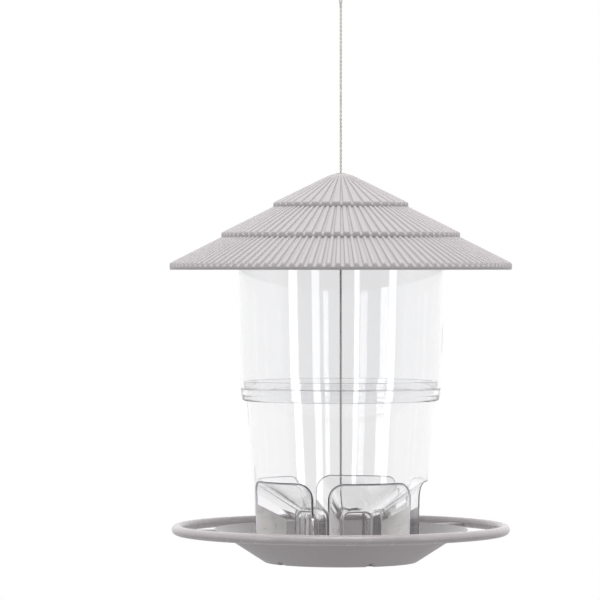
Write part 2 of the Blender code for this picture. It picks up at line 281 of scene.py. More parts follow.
def remap(tree, value, low, high, to_low, to_high, interpolation="LINEAR"):
    """A socket's range from low to high turned into another range, and held at its ends."""
    node = tree.nodes.new("ShaderNodeMapRange")
    node.interpolation_type = interpolation
    node.inputs["From Min"].default_value = low
    node.inputs["From Max"].default_value = high
    node.inputs["To Min"].default_value = to_low
    node.inputs["To Max"].default_value = to_high
    tree.links.new(value, node.inputs["Value"])
    return node.outputs["Result"]


def calculated(tree, operation, first, second):
    """A Math node's result from a socket and either a second socket or a number."""
    node = tree.nodes.new("ShaderNodeMath")
    node.operation = operation
    tree.links.new(first, node.inputs[0])
    if isinstance(second, float):
        node.inputs[1].default_value = second
    else:
        tree.links.new(second, node.inputs[1])
    return node.outputs["Value"]


def blended(tree, factor, first, second):
    """A colour mixed from two colours by a factor socket."""
    node = tree.nodes.new("ShaderNodeMix")
    node.data_type = "RGBA"
    node.inputs["A"].default_value = (*first, 1.0)
    node.inputs["B"].default_value = (*second, 1.0)
    tree.links.new(factor, node.inputs["Factor"])
    return node.outputs["Result"]


def bump(tree, shader, layers):
    """Stacks bumps: each layer is (height socket, strength, distance in metres)."""
    normal = None
    for height, strength, distance in layers:
        node = tree.nodes.new("ShaderNodeBump")
        node.inputs["Strength"].default_value = strength
        node.inputs["Distance"].default_value = distance
        tree.links.new(height, node.inputs["Height"])
        if normal:
            tree.links.new(normal, node.inputs["Normal"])
        normal = node.outputs["Normal"]
    tree.links.new(normal, shader.inputs["Normal"])


def moulded_plastic(name, colour, shade, roughness, grain):
    """Satin moulded plastic: slightly cloudy in colour and gloss, with gentle waves and a fine grain."""
    made, tree, shader = blank_material(name)
    cloud = remap(tree, noise(tree, 22.0, 4.0), 0.3, 0.7, 0.0, 1.0)
    base = blended(tree, cloud, tuple(c * shade for c in colour), colour)
    tree.links.new(base, shader.inputs["Base Color"])
    patches = remap(tree, noise(tree, 130.0, 4.0), 0.25, 0.75, roughness - 0.03, roughness + 0.05)
    tree.links.new(patches, shader.inputs["Roughness"])
    shader.inputs["IOR"].default_value = 1.5
    bump(tree, shader, [
        (noise(tree, 60.0, 2.0), 0.05 * grain, 0.0003),
        (noise(tree, 900.0, 1.0), 0.06 * grain, 0.00003),
    ])
    return made


def clear_plastic(name, colour, wave, roughness=0.015):
    """Clear moulded styrene with the slight waves that moulding leaves in its surface."""
    made, tree, shader = blank_material(name)
    shader.inputs["Base Color"].default_value = (*colour, 1.0)
    shader.inputs["Transmission Weight"].default_value = 1.0
    shader.inputs["IOR"].default_value = 1.57
    haze = remap(tree, noise(tree, 90.0, 4.0), 0.35, 0.75, roughness, roughness + 0.03)
    tree.links.new(haze, shader.inputs["Roughness"])
    bump(tree, shader, [(noise(tree, 38.0, 1.0), wave, 0.0005)])
    return made


def whitish_plastic(name, colour, clearness, roughness):
    """Whitish plastic with fine clouds and a sandy grain: the ports' rough-moulded side patches, and
    painted light on their clear rims and mouths' chamfers.
    """
    made, tree, shader = blank_material(name)
    cloud = noise(tree, 160.0, 4.0, 0.6)
    tone = remap(tree, cloud, 0.35, 0.65, 0.0, 1.0)
    base = blended(tree, tone, tuple(c * 0.90 for c in colour), colour)
    tree.links.new(base, shader.inputs["Base Color"])
    shader.inputs["Transmission Weight"].default_value = clearness
    shader.inputs["IOR"].default_value = 1.4
    rough = remap(tree, cloud, 0.3, 0.7, roughness, roughness + 0.12)
    tree.links.new(rough, shader.inputs["Roughness"])
    bump(tree, shader, [(noise(tree, 420.0, 3.0), 0.10, 0.0002)])
    return made


def plated_metal(name, colour, roughness, scale, metallic=1.0):
    """Worn zinc or steel: cloudy in tone and gloss, on a finely uneven surface."""
    made, tree, shader = blank_material(name)
    cloud = remap(tree, noise(tree, scale, 4.0), 0.3, 0.7, 0.0, 1.0)
    base = blended(tree, cloud, tuple(c * 0.72 for c in colour), colour)
    tree.links.new(base, shader.inputs["Base Color"])
    shader.inputs["Metallic"].default_value = metallic
    rough = remap(tree, noise(tree, scale * 3.0, 5.0), 0.3, 0.7, roughness - 0.08, roughness + 0.12)
    tree.links.new(rough, shader.inputs["Roughness"])
    bump(tree, shader, [(noise(tree, scale * 8.0, 3.0), 0.25, 0.00005)])
    return made


tray_grey = moulded_plastic("tray_grey", (0.326, 0.302, 0.311), 0.95, 0.36, 0.5)
hoop_grey = moulded_plastic("hoop_grey", (0.405, 0.372, 0.385), 0.97, 0.25, 0.3)
roof_grey = moulded_plastic("roof_grey", (0.392, 0.369, 0.377), 0.98, 0.50, 0.3)
bush_grey = moulded_plastic("bush_grey", (0.392, 0.369, 0.377), 0.95, 0.46, 0.3)
upper_clear = clear_plastic("upper_clear", (0.934, 0.935, 0.941), 0.10)
lower_clear = clear_plastic("lower_clear", (0.955, 0.955, 0.960), 0.16)
# Whitish: rough-moulded patches on the ports' side walls, and painted light on the mouths' chamfers,
# which are clear plastic.
port_frost_and_painted_light = whitish_plastic("port_frost_and_painted_light", (0.97, 0.96, 0.945), 0.08, 0.25)
# Painted light: a whitish violet tone on the ports' rounded rims, where the clear plastic shows refracted
# light.
port_rim_painted_light = whitish_plastic("port_rim_painted_light", (0.93, 0.91, 0.97), 0.12, 0.10)
wire_steel = plated_metal("wire_steel", (0.66, 0.63, 0.585), 0.40, 500.0, 0.55)
washer_zinc = plated_metal("washer_zinc", (0.70, 0.70, 0.71), 0.30, 260.0)
ferrule_alloy = plated_metal("ferrule_alloy", (0.74, 0.74, 0.75), 0.32, 340.0)


# Roof: three fluted tiers in one shell, with a collar that drops into the hopper's mouth

def flute_outline(valley, slope):
    """One flute as (share of its width, share of its height) pairs: a round valley, a crowned ridge."""
    rise = [
        (0.0, 0.0),
        (0.55 * valley, 0.03),
        (valley, 0.14),
        (valley + 0.35 * slope, 0.45),
        (valley + 0.70 * slope, 0.78),
        (valley + slope, 0.93),
        (valley + 1.6 * slope, 1.0),
    ]
    return rise + [(1.0 - share, height) for share, height in reversed(rise[1:])]


TOP_FLUTES = 40
MIDDLE_FLUTES = 80
BOTTOM_FLUTES = 120
UNDERSIDE_STEPS = 240
WIDE_FLUTE = flute_outline(0.09, 0.09)
MIDDLE_FLUTE = flute_outline(0.13, 0.11)
NARROW_FLUTE = flute_outline(0.19, 0.13)


def fluted_tier(vertices, flutes, outline, stations):
    """Rings of one tier: each station is (radius, valley height, ridge's rise over the valley)."""
    rings = []
    for radius, height, lift in stations:
        ring = []
        for k in range(flutes):
            for share, up in outline:
                ring.append(len(vertices))
                angle = 360.0 * (k + share) / flutes
                vertices.append(place(radius, angle, height + lift * up))
        rings.append(ring)
    return rings


def between(first, last, parts):
    """Stations spread evenly from the first to the last, both included."""
    made = []
    for i in range(parts + 1):
        t = i / parts
        made.append(tuple(a + (b - a) * t for a, b in zip(first, last)))
    return made


def plain_ring(vertices, steps, radius, height):
    """Adds a circle of vertices and gives back their numbers."""
    ring = list(range(len(vertices), len(vertices) + steps))
    for i in range(steps):
        vertices.append(place(radius, 360.0 * i / steps, height))
    return ring


def build_roof():
    """One closed shell: the crown, three tiers with scalloped steps, the brim and the underside."""
    vertices = []
    rings = [
        plain_ring(vertices, 60, 2.5, 270.9),
        plain_ring(vertices, 60, 2.7, 271.3),
        plain_ring(vertices, 120, 5.2, 271.6),
        plain_ring(vertices, 240, 6.8, 271.1),
    ]
    rings += fluted_tier(vertices, TOP_FLUTES, WIDE_FLUTE, [(9.0, 270.2, 0.05)])
    rings += fluted_tier(vertices, TOP_FLUTES, WIDE_FLUTE, between(
        (13.0, 267.6, 0.8), (46.6, 250.4, 1.55), 6
    ))
    rings += fluted_tier(vertices, TOP_FLUTES, WIDE_FLUTE, [
        (47.15, 250.0, 1.45),
        (47.3, 249.5, 1.1),
        (47.3, 248.6, 0.3),
        (46.8, 248.1, 0.0),
    ])
    rings += fluted_tier(vertices, MIDDLE_FLUTES, MIDDLE_FLUTE, between(
        (46.5, 247.9, 1.2), (82.8, 229.2, 1.75), 7
    ))
    rings += fluted_tier(vertices, MIDDLE_FLUTES, MIDDLE_FLUTE, [
        (83.35, 228.8, 1.65),
        (83.5, 228.3, 1.3),
        (83.5, 227.3, 0.3),
        (83.0, 226.8, 0.0),
    ])
    rings += fluted_tier(vertices, BOTTOM_FLUTES, NARROW_FLUTE, between(
        (82.7, 226.6, 1.3), (118.8, 207.6, 2.15), 7
    ))
    rings += fluted_tier(vertices, BOTTOM_FLUTES, NARROW_FLUTE, [
        (119.4, 207.2, 2.0),
        (119.7, 206.8, 1.6),
        (119.8, 206.5, 0.3),
        (119.8, 206.0, 0.0),
    ])
    underside = rounded([
        (119.8, 204.6, 0.5),
        (117.0, 204.6, 0.4),
        (116.7, 206.4, 0.8),
        (82.6, 224.6, 1.0),
        (79.0, 226.9, 0.5),
        (77.6, 226.5, 0.4),
        (71.7, 226.5, 0.5),
        (71.4, 218.0, 0.5),
        (69.6, 218.0, 0.5),
        (69.0, 233.4, 3.0),
        (46.0, 245.9, 2.0),
        (14.0, 265.0, 2.0),
        (6.0, 269.2, 1.0),
        (2.5, 269.4, 0.2),
    ])
    for radius, height in underside:
        rings.append(plain_ring(vertices, UNDERSIDE_STEPS, radius, height))
    roof = mesh_piece("fluted_roof", vertices, stitched(rings), [roof_grey])
    weigh_normals(roof)
    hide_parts("roof_canopy")
    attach(roof, "roof")


def build_bush():
    """A grommet whose two flanges hold the roof's crown and whose bore runs on the wire."""
    outline = rounded([
        (1.15, 267.6, 0.2),
        (4.0, 267.6, 0.4),
        (4.2, 268.9, 0.4),
        (2.1, 269.0, 0.1),
        (2.1, 271.4, 0.1),
        (3.9, 271.7, 0.1),
        (3.4, 272.2, 0.4),
        (1.15, 272.4, 0.3),
    ], segments=4)
    bush = mesh_piece("roof_grommet", *revolve(outline, 64), [bush_grey])
    weigh_normals(bush)
    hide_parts("roof_bush")
    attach(bush, "bush")


# Clear hoppers

def build_upper_hopper():
    """A flared tube with a stepped foot below and a flanged mouth under the roof."""
    outline = rounded([
        (66.4, 113.2, 0.3),
        (68.1, 113.1, 0.4),
        (69.0, 114.2, 0.8),
        (69.3, 117.0, 0.3),
        (69.6, 117.4, 0.2),
        (69.8, 120.8, 0.3),
        (69.9, 121.4, 0.3),
        (73.5, 204.0, 8.0),
        (74.3, 223.2, 0.3),
        (75.7, 223.6, 0.4),
        (75.7, 226.0, 0.4),
        (72.6, 226.0, 0.5),
        (71.7, 204.0, 8.0),
        (68.2, 121.6, 0.3),
        (66.4, 121.6, 0.3),
    ], segments=4)
    hopper = mesh_piece("clear_upper_tube", *revolve(outline, 256), [upper_clear])
    weigh_normals(hopper)
    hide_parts("upper_hopper")
    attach(hopper, "upper_stage")


# Each port is an arched opening in the wall that flares in to a smaller arch, its mouth, by the axis.

WALL = 1.8
CUP_STEPS = 200
PORT_RADIUS = 60.6
PORT_HALF_ANGLE = 29.4
PORT_TOP = 56.4
PORT_CORNER = 9.5
MOUTH_DISTANCE = 31.0
MOUTH_HALF_WIDTH = 10.15
MOUTH_TOP = 35.7
MOUTH_CORNER = 4.5
MOUTH_LIP = 1.3
FLARE_STEPS = 4
RIM_ROUND = 1.2
RIM_TURNS = (20.0, 40.0, 60.0, 75.0)
CUTTER_FOOT = -3.0
CUTTER_REACH = 12.0
TUNNEL_END = 23.0
CUTTER_TUNNEL_END = 17.0

# The frosted patches on the ports' side walls: their height at the mouth and at the rim, and which
# faces they take in. The material numbers are places in the cup's list of surfaces.

FROST_LOW = 26.9
FROST_HIGH = 40.6
FROST_START = 0.25
FROST_STEEPEST = 0.3
FROST_FACING = 0.2
ON_THE_WALL = 0.02
FOOT_HALF_ANGLE = 5.0
# The first number also marks the mouths' chamfers, as painted light; the second marks the ports' rims,
# whose whitish violet tone is painted light.
FROST_AND_PAINTED_LIGHT = 1
EDGE = 2

# The outer wall of the lower hopper as (radius, height) pairs.

LOWER_OUTER = [
    (60.0, 19.0),
    (60.9, 54.0),
    (63.4, 85.0),
    (65.3, 108.0),
    (65.8, 114.0),
]


def arch(half_width, top, corner, corner_steps=8, side_steps=8, top_steps=10):
    """A round-cornered arch as (across, height) pairs, from one foot over to the other."""
    left = []
    for i in range(side_steps):
        height = CUTTER_FOOT + (top - corner - CUTTER_FOOT) * i / side_steps
        left.append((-half_width, height))
    for i in range(corner_steps + 1):
        turn = 0.5 * math.pi * i / corner_steps
        left.append((
            -half_width + corner * (1.0 - math.cos(turn)),
            top - corner * (1.0 - math.sin(turn)),
        ))
    flat = half_width - corner
    crown = [(-flat + 2.0 * flat * i / top_steps, top) for i in range(1, top_steps)]
    right = [(-across, height) for across, height in reversed(left)]
    return left + crown + right


def wall_radius(height):
    """Radius of the lower hopper's outer wall beside the ports."""
    low, high = LOWER_OUTER[0], LOWER_OUTER[1]
    if height > high[1]:
        low, high = high, LOWER_OUTER[2]
    share = max(0.0, (height - low[1]) / (high[1] - low[1]))
    return low[0] + (high[0] - low[0]) * share


def port_ring(angle, growth, inset):
    """The port's outline grown along the wall and set in from the wall's outer face."""
    half_arc = math.radians(PORT_HALF_ANGLE) * PORT_RADIUS + growth
    outline = arch(half_arc, PORT_TOP + growth, PORT_CORNER + growth)
    return [
        place(wall_radius(height) - inset, angle + math.degrees(across / PORT_RADIUS), height)
        for across, height in outline
    ]


def recess(angle, skin, tunnel_end):
    """The hollow of one port, grown by skin: mouth, chamfer, flare, and the port's round rim."""
    mouth = arch(MOUTH_HALF_WIDTH + skin, MOUTH_TOP + skin, MOUTH_CORNER + skin)
    grown = MOUTH_LIP + skin
    lip = arch(MOUTH_HALF_WIDTH + grown, MOUTH_TOP + grown, MOUTH_CORNER + grown)
    inner = [beside(MOUTH_DISTANCE, across, angle, height) for across, height in lip]
    outer = port_ring(angle, skin, RIM_ROUND)
    sections = [
        [beside(tunnel_end, across, angle, height) for across, height in mouth],
        [beside(MOUTH_DISTANCE - MOUTH_LIP, across, angle, height) for across, height in mouth],
    ]
    for i in range(FLARE_STEPS + 1):
        share = i / FLARE_STEPS
        sections.append([a + (b - a) * share for a, b in zip(inner, outer)])
    for turn in RIM_TURNS:
        grown = skin + RIM_ROUND * (1.0 - math.cos(math.radians(turn)))
        sections.append(port_ring(angle, grown, RIM_ROUND * (1.0 - math.sin(math.radians(turn)))))
    sections.append(port_ring(angle, skin + RIM_ROUND, -CUTTER_REACH))
    return lofted(sections)


def mark_port_surfaces(piece):
    """Sets the materials of each port's rim and of its mouth's chamfer, both painted light, and of its
    lower side walls.
    """
    side_reach = (PORT_RADIUS - RIM_ROUND) * math.cos(math.radians(PORT_HALF_ANGLE))
    for face in piece.data.polygons:
        middle = face.center
        turn = math.degrees(math.atan2(middle.x, -middle.y)) - FIRST_PORT
        port = FIRST_PORT + round(turn / PORT_STEP) * PORT_STEP
        height = (middle.z - BASE) / MM
        along = middle.dot(outward(port)) / MM
        across = middle.dot(outward(port + 90.0)) / MM
        depth = wall_radius(height) - math.hypot(along, across)
        heart = beside(along, 0.0, port, min(height, 0.5 * MOUTH_TOP))
        if face.normal.dot(heart - middle) < 0.0 or height > PORT_TOP + RIM_ROUND:
            continue
        share = (along - MOUTH_DISTANCE) / (side_reach - MOUTH_DISTANCE)
        frost_top = FROST_LOW + (FROST_HIGH - FROST_LOW) * share
        # The rim's faces take the whitish violet material, painted light on the clear rounded rim.
        if ON_THE_WALL < depth < RIM_ROUND:
            face.material_index = EDGE
        # The mouth's chamfer takes the whitish material, painted light on clear plastic.
        elif -MOUTH_LIP < along - MOUTH_DISTANCE < 0.0:
            if abs(across) < MOUTH_HALF_WIDTH + MOUTH_LIP:
                face.material_index = FROST_AND_PAINTED_LIGHT
        elif share > FROST_START and abs(face.normal.z) < FROST_STEEPEST and height < frost_top:
            if face.normal.dot(outward(port)) > FROST_FACING:
                face.material_index = FROST_AND_PAINTED_LIGHT


def build_lower_hopper():
    """A flared cup with five ports let into it, each wrapped in a skin as thick as the wall."""
    outside = [(0.0, 2.9), (53.9, 2.9), (60.0, 6.9)] + LOWER_OUTER + [
        (65.9, 121.6),
        (66.2, 122.1),
        (67.5, 122.1),
        (67.8, 122.4),
        (67.8, 126.4),
        (67.6, 126.8),
        (67.2, 127.0),
        (0.0, 127.0),
    ]
    surfaces = [lower_clear, port_frost_and_painted_light, port_rim_painted_light]
    hopper = mesh_piece("clear_lower_cup", *revolve(outside, CUP_STEPS), surfaces)
    inside = [(0.0, -4.0), (60.0 - WALL, -4.0)]
    inside += [(radius - WALL, height) for radius, height in LOWER_OUTER[:4]]
    inside += [(64.2, 122.0), (64.3, 131.0), (0.0, 131.0)]
    hollow = mesh_piece("seed_space", *revolve(inside, CUP_STEPS))
    angles = [FIRST_PORT + k * PORT_STEP for k in range(PORTS)]
    skins = gathered([recess(angle, WALL, TUNNEL_END) for angle in angles])
    combine(hollow, mesh_piece("recess_skins", *skins), "DIFFERENCE")
    combine(hopper, hollow, "DIFFERENCE")
    hollows = gathered([recess(angle, 0.0, CUTTER_TUNNEL_END) for angle in angles])
    combine(hopper, mesh_piece("recesses", *hollows), "DIFFERENCE")
    feet = []
    for k in range(PORTS):
        middle = FIRST_ARM + k * PORT_STEP
        foot = [(59.2, 7.6), (60.2, 7.6), (62.0, 8.5), (62.0, 10.5), (59.2, 10.5)]
        turns = [middle - FOOT_HALF_ANGLE, middle, middle + FOOT_HALF_ANGLE]
        feet.append(lofted([[place(r, turn, h) for r, h in foot] for turn in turns]))
    combine(hopper, mesh_piece("feet", *gathered(feet)), "UNION")
    clean(hopper)
    mark_port_surfaces(hopper)
    weigh_normals(hopper)
    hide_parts("lower_hopper")
    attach(hopper, "lower_stage")


# Dish with its hub, drains, arms and bayonet hooks

FLOOR_TOP = 2.4
FLOOR_EDGE = 54.6
RIM_TOP = 22.3
RIM_INSIDE = 86.2
NOTCH_HALF_WIDTH = 3.2
NOTCH_HEIGHT = 3.0
NOTCH_REACH = (47.0, 60.0)
DRAIN_RADIUS = 1.5
DRAIN_DISTANCE = 51.0
UNDER_DISH = -1.0
OVER_FLOOR = 4.0
ARM_TOP = 23.0
ARM_THICKNESS = 2.6
ARM_ROOT_LIFT = 1.7
ARM_ROOT = 87.4
ARM_END = 111.6
ARM_HALF_WIDTH = 4.5
ARM_FLARE = 1.6
ARM_EDGE = 0.5
ARM_STEPS = 10
HOOK_INSIDE = 60.9
HOOK_OUTSIDE = 63.6
HOOK_TOP = 12.6
TONGUE_LOW = 11.0
LOW_WALL_TOP = 10.4
HOOK_SINK = 0.9
HOOP_RADIUS = 114.8
HOOP_HEIGHT = 22.9
HOOP_BAR_RADIUS = 3.5
HOOP_SIDES = 28


def dish_surface(radius):
    """Height of the dish's inner surface at this radius."""
    rise = RIM_TOP - FLOOR_TOP
    return FLOOR_TOP + (radius - FLOOR_EDGE) * rise / (RIM_INSIDE - FLOOR_EDGE)


def drain_notch(angle):
    """A half-round notch under the dish's bottom corner."""
    outline = []
    for i in range(17):
        turn = math.pi * i / 16
        outline.append((NOTCH_HALF_WIDTH * math.cos(turn), NOTCH_HEIGHT * math.sin(turn)))
    outline += [(-NOTCH_HALF_WIDTH, UNDER_DISH), (NOTCH_HALF_WIDTH, UNDER_DISH)]
    return lofted([
        [beside(radius, across, angle, height) for across, height in outline]
        for radius in NOTCH_REACH
    ])


def drain_hole(angle):
    """A small round hole through the dish's floor beside a notch."""
    outline = []
    for i in range(24):
        turn = math.pi * i / 12
        outline.append((DRAIN_RADIUS * math.cos(turn), DRAIN_RADIUS * math.sin(turn)))
    return lofted([
        [beside(DRAIN_DISTANCE + along, across, angle, height) for along, across in outline]
        for height in (UNDER_DISH, OVER_FLOOR)
    ])


def arm(angle):
    """A flat spoke with soft edges and flared ends, from the dish's rim to the hoop."""
    top = ARM_TOP
    edge = ARM_EDGE
    sections = []
    for i in range(ARM_STEPS + 1):
        share = i / ARM_STEPS
        radius = ARM_ROOT + (ARM_END - ARM_ROOT) * share
        half = ARM_HALF_WIDTH + ARM_FLARE * abs(2.0 * share - 1.0) ** 3
        low = top - ARM_THICKNESS + (ARM_ROOT_LIFT if i == 0 else 0.0)
        outline = [
            (-half, low + edge), (-half + edge, low), (half - edge, low), (half, low + edge),
            (half, top - edge), (half - edge, top), (-half + edge, top), (-half, top - edge),
        ]
        sections.append([beside(radius, across, angle, height) for across, height in outline])
    return lofted(sections)


def hook(angle):
    """The bayonet's stop wall, its tongue over the hopper's foot, and the far stop.

    Each is a block between two angles, counted from the arm that the hook stands by.
    """
    inner = HOOK_INSIDE
    outer = HOOK_OUTSIDE
    root = dish_surface(inner) - HOOK_SINK
    tip = dish_surface(outer) - HOOK_SINK
    wall = [(inner, root), (outer, tip), (outer, HOOK_TOP), (inner, HOOK_TOP)]
    tongue = [(inner, TONGUE_LOW), (outer, TONGUE_LOW), (outer, HOOK_TOP), (inner, HOOK_TOP)]
    low_wall = [(inner, root), (outer, tip), (outer, LOW_WALL_TOP), (inner, LOW_WALL_TOP)]
    blocks = []
    for outline, first, last in (
        (wall, angle - 10.0, angle - 6.2),
        (tongue, angle - 7.0, angle + 1.0),
        (low_wall, angle + 26.4, angle + 28.8),
    ):
        turns = [first + (last - first) * i / 3 for i in range(4)]
        blocks.append(lofted([[place(r, turn, h) for r, h in outline] for turn in turns]))
    return blocks


def build_dish():
    """The dish turned from one outline, with its arms and hooks added and its drains cut."""
    outline = rounded([
        (7.5, 0.0, 0.4),
        (53.0, 0.0, 1.0),
        (54.4, 0.9, 0.8),
        (87.3, 22.1, 0.8),
        (89.0, 22.5, 0.4),
        (88.9, 23.2, 0.3),
        (87.5, 23.3, 0.4),
        (RIM_INSIDE, RIM_TOP, 0.5),
        (FLOOR_EDGE, FLOOR_TOP, 2.5),
        (18.0, FLOOR_TOP, 1.5),
        (13.5, 4.4, 2.0),
        (4.6, 12.2, 0.8),
        (3.4, 13.0, 0.4),
        (1.2, 13.0, 0.2),
        (1.2, 6.0, 0.1),
        (7.5, 6.0, 0.3),
    ], segments=4)
    dish = mesh_piece("seed_dish", *revolve(outline, 240), [tray_grey])
    for k in range(PORTS):
        angle = FIRST_ARM + k * PORT_STEP
        for block in [arm(angle)] + hook(angle):
            combine(dish, mesh_piece("extra", *block), "UNION")
    angles = [FIRST_PORT + k * PORT_STEP for k in range(PORTS)]
    notches = gathered([drain_notch(angle) for angle in angles])
    combine(dish, mesh_piece("notches", *notches), "DIFFERENCE")
    holes = gathered([drain_hole(angle) for angle in angles])
    combine(dish, mesh_piece("holes", *holes), "DIFFERENCE")
    clean(dish)
    weigh_normals(dish)
    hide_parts("seed_tray")
    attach(dish, "tray")


def build_hoop():
    """The round perch lying level around the dish."""
    outline = []
    for i in range(HOOP_SIDES):
        turn = 2.0 * math.pi * i / HOOP_SIDES
        across = HOOP_BAR_RADIUS * math.cos(turn)
        up = HOOP_BAR_RADIUS * math.sin(turn)
        outline.append((HOOP_RADIUS + across, HOOP_HEIGHT + up))
    hoop = mesh_piece("perch_hoop", *revolve(outline, 300), [hoop_grey])
    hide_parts("perch_ring")
    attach(hoop, "tray")


# Hanger: one wire folded in half and twisted, its fold left open as the eye

WIRE_FOOT = 1.0
WIRE_TOP = 388.0
STRAND_RADIUS = 0.50
STRAND_OFFSET = 0.36
TWIST_PITCH = 5.4
STEPS_PER_TURN = 12
EYE_HALF_WIDTH = 12.0
EYE_HEIGHT = 445.0
EYE_STEPS = 96
EYE_SHOULDER = 0.3


def tube(path, radius, sides):
    """Vertices and faces of a round tube with closed ends along a path of points in metres."""
    vertices = []
    rings = []
    side = Vector((0.0, 1.0, 0.0))
    for i, spot in enumerate(path):
        ahead = path[min(i + 1, len(path) - 1)]
        behind = path[max(i - 1, 0)]
        along = (ahead - behind).normalized()
        side = (side - along * side.dot(along)).normalized()
        other = along.cross(side)
        ring = []
        for k in range(sides):
            turn = 2.0 * math.pi * k / sides
            ring.append(len(vertices))
            reach = side * math.cos(turn) + other * math.sin(turn)
            vertices.append(spot + reach * radius * MM)
        rings.append(ring)
    faces = [tuple(reversed(rings[0])), tuple(rings[-1])]
    for k in range(len(rings) - 1):
        faces += bridge(rings[k], rings[k + 1])
    return vertices, faces


def strand_path(phase):
    """One strand's centreline: a helix that ends beside the axis at the wire's top."""
    steps = int((WIRE_TOP - WIRE_FOOT) / TWIST_PITCH * STEPS_PER_TURN)
    path = []
    for i in range(steps + 1):
        height = WIRE_FOOT + (WIRE_TOP - WIRE_FOOT) * i / steps
        turn = phase + 360.0 * (WIRE_TOP - height) / TWIST_PITCH
        path.append(place(STRAND_OFFSET, turn, height))
    return path


def eye_path():
    """The teardrop that the unfolded wire makes, from one strand's end round to the other's."""
    round_radius = EYE_HALF_WIDTH - STRAND_RADIUS
    centre = EYE_HEIGHT + STRAND_RADIUS - round_radius
    path = []
    for i in range(EYE_STEPS + 1):
        share = i / EYE_STEPS
        if EYE_SHOULDER <= share <= 1.0 - EYE_SHOULDER:
            turn = math.pi * (share - EYE_SHOULDER) / (1.0 - 2.0 * EYE_SHOULDER)
            across = -round_radius * math.cos(turn)
            height = centre + round_radius * math.sin(turn)
        else:
            t = min(share, 1.0 - share) / EYE_SHOULDER
            side = -1.0 if share < 0.5 else 1.0
            spread = 3 * t * t - 2 * t * t * t
            across = side * (STRAND_OFFSET + (round_radius - STRAND_OFFSET) * spread)
            height = WIRE_TOP + (centre - WIRE_TOP) * t
        path.append(Vector((across * MM, 0.0, BASE + height * MM)))
    return path


def build_hanger():
    """The two twisted strands and their open eye."""
    eye = mesh_piece("wire_eye", *tube(eye_path(), STRAND_RADIUS, 16), [wire_steel])
    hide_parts("cable_eye")
    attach(eye, "tray")
    strands = gathered([tube(strand_path(phase), STRAND_RADIUS, 10) for phase in (90.0, 270.0)])
    wire = mesh_piece("twisted_wire", *strands, [wire_steel])
    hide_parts("hanging_cable")
    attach(wire, "tray")


def build_stop():
    """The washer under the hub and the crimped ferrule that carries it."""
    washer_outline = rounded([(1.2, 4.6), (6.4, 4.6), (6.4, 5.7), (1.2, 5.7)], 0.25, 4)
    washer = mesh_piece("tray_washer", *revolve(washer_outline, 72), [washer_zinc])
    weigh_normals(washer)
    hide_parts("stop_washer")
    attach(washer, "tray")
    sleeve = [
        (1.1, 0.5, 0.1),
        (2.1, 0.5, 0.2),
        (2.4, 0.9, 0.3),
        (2.4, 1.4, 0.2),
        (2.12, 1.8, 0.2),
        (2.4, 2.2, 0.2),
        (2.4, 2.6, 0.2),
        (2.12, 3.0, 0.2),
        (2.4, 3.4, 0.2),
        (2.4, 3.9, 0.3),
        (2.1, 4.3, 0.2),
        (1.1, 4.3, 0.1),
    ]
    ferrule = mesh_piece("crimp_ferrule", *revolve(rounded(sleeve), 48), [ferrule_alloy])
    weigh_normals(ferrule)
    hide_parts("stop_ferrule")
    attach(ferrule, "tray")


# Stage: camera, floor, world and lights, all in metres

CAMERA_SIDE = -0.0285
CAMERA_DISTANCE = 2.75
CAMERA_HEIGHT = 0.206
AIM_HEIGHT = 0.1834
FLOOR_DEPTH = 3.2
FLOOR_RINGS = (2.0, 4.0, 6.0, 7.5, 9.0)
FLOOR_STEPS = 96
FADE_START = 4.0
FADE_END = 8.8
LONG_PATH = 7.5
STRIP_DISTANCE = 2.0
STRIP_HEIGHT = 0.1
STRIP_TALL = 1.9


def build_camera():
    """A long lens level with the upper hopper, looking slightly down, the feeder right of middle."""
    middle = (cad_low + cad_high) / 2
    data = bpy.data.cameras.new("camera")
    data.lens = 235.7
    data.sensor_width = 36.0
    data.clip_end = 50.0
    camera = bpy.data.objects.new("camera", data)
    side = middle.x + CAMERA_SIDE
    spot = Vector((side, middle.y - CAMERA_DISTANCE, BASE + CAMERA_HEIGHT))
    target = Vector((side, middle.y, BASE + AIM_HEIGHT))
    camera.location = spot
    camera.rotation_euler = (target - spot).to_track_quat("-Z", "Y").to_euler()
    bpy.context.scene.collection.objects.link(camera)
    bpy.context.scene.camera = camera


def build_floor():
    """A pale disc far under the feeder that fades to the white surround."""
    vertices = [Vector((0.0, 0.0, BASE - FLOOR_DEPTH))]
    rings = [[0]]
    for reach in FLOOR_RINGS:
        rings.append(list(range(len(vertices), len(vertices) + FLOOR_STEPS)))
        for i in range(FLOOR_STEPS):
            turn = 2.0 * math.pi * i / FLOOR_STEPS
            across = reach * math.cos(turn)
            along = reach * math.sin(turn)
            vertices.append(Vector((across, along, BASE - FLOOR_DEPTH)))
    faces = []
    for inner, outer in zip(rings, rings[1:]):
        faces += bridge(inner, outer)
    made, tree, shader = blank_material("pale_floor")
    shader.inputs["Base Color"].default_value = (0.72, 0.72, 0.72, 1.0)
    shader.inputs["Roughness"].default_value = 0.9
    gone = tree.nodes.new("ShaderNodeBsdfTransparent")
    mixed = tree.nodes.new("ShaderNodeMixShader")
    coordinates = tree.nodes.new("ShaderNodeTexCoord")
    length = tree.nodes.new("ShaderNodeVectorMath")
    length.operation = "LENGTH"
    tree.links.new(coordinates.outputs["Object"], length.inputs[0])
    fade = remap(tree, length.outputs["Value"], FADE_START, FADE_END, 0.0, 1.0, "SMOOTHSTEP")
    tree.links.new(fade, mixed.inputs["Fac"])
    tree.links.new(shader.outputs["BSDF"], mixed.inputs[1])
    tree.links.new(gone.outputs["BSDF"], mixed.inputs[2])
    tree.links.new(mixed.outputs["Shader"], tree.nodes["Material Output"].inputs["Surface"])
    floor = mesh_piece("floor", vertices, faces, [made])


